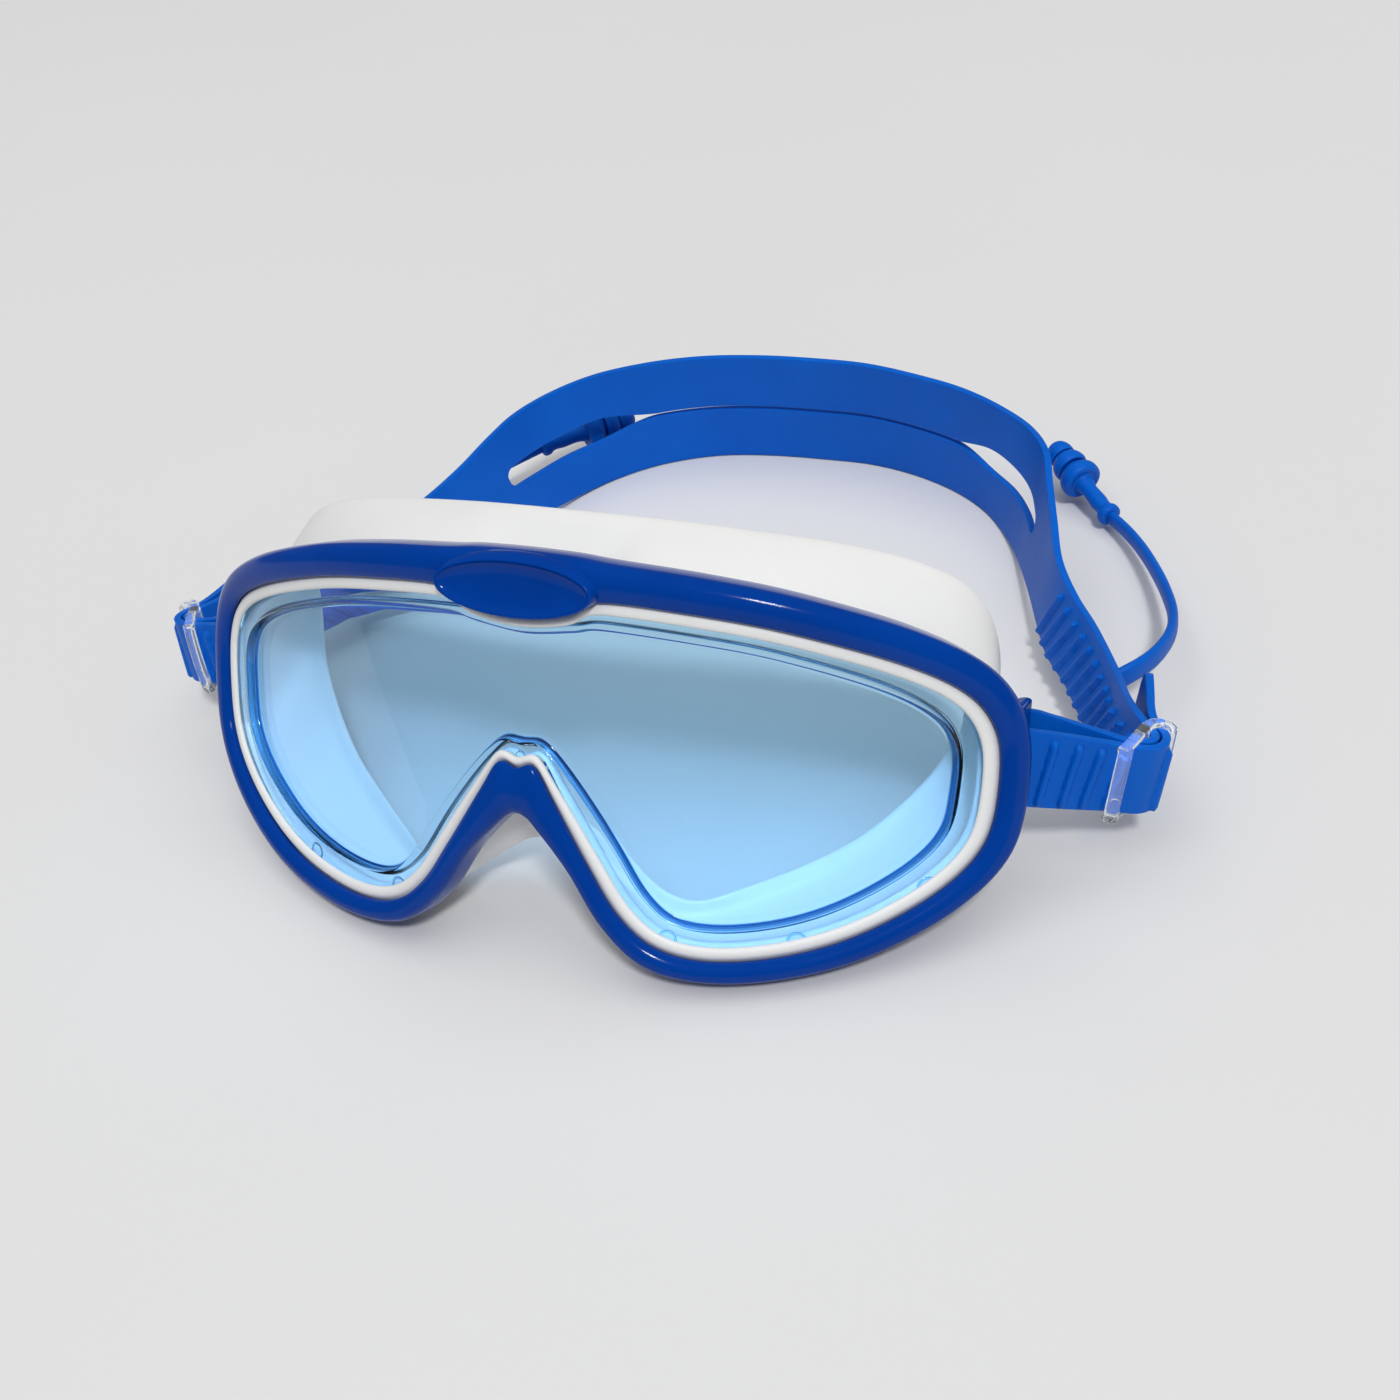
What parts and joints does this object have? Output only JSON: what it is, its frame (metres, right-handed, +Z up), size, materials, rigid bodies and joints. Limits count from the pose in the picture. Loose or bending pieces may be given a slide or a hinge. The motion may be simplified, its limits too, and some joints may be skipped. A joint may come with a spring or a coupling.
{
  "type": "swim goggles",
  "caption": "Swim goggles with a wide bent lens in a soft face skirt and rigid frame, a split head strap run through side buckles, and ear plugs on cords.",
  "frame": {"origin": "On the floor, under the middle of the goggles' box without the loose cords and plugs.", "axes": "X runs from the wearer's right lens side in the picture's left to the picture's right, Y runs from the front of the mask back to the rear of the strap, Z is up."},
  "size_m": [0.1886, 0.1573, 0.0636],
  "materials": {
    "frame_plastic": "polished deep blue moulding",
    "lens_plastic": "clear, pale blue tint",
    "skirt_silicone": "soft satin white",
    "strap_silicone": "soft satin blue",
    "buckle_plastic": "clear"
  },
  "bodies": {
    "mask": {"frame": "frame_plastic", "lens": "lens_plastic", "skirt": "skirt_silicone", "strap_end_right": "strap_silicone", "strap_end_left": "strap_silicone"},
    "strap": {"head_strap": "strap_silicone", "plug_cord_right": "strap_silicone", "plug_cord_left": "strap_silicone", "ear_plug_right": "strap_silicone", "ear_plug_left": "strap_silicone"},
    "buckle_right": {"buckle_right": "buckle_plastic"},
    "buckle_left": {"buckle_left": "buckle_plastic"}
  },
  "joints": [
    {"name": "strap_lift", "type": "hinge", "parent": "mask", "child": "strap", "pos_m": [0, -0.01745, 0.0142], "axis": [1, 0, 0], "range_deg": [0, 20]},
    {"name": "buckle_tilt_right", "type": "hinge", "parent": "mask", "child": "buckle_right", "pos_m": [0.08816, -0.02735, 0.01567], "axis": [0.1562, 0.1434, 0.9773], "range_deg": [0, 6]},
    {"name": "buckle_tilt_left", "type": "hinge", "parent": "mask", "child": "buckle_left", "pos_m": [-0.08832, -0.03032, 0.0172], "axis": [0.0832, -0.1585, -0.9838], "range_deg": [0, 6]}
  ]
}
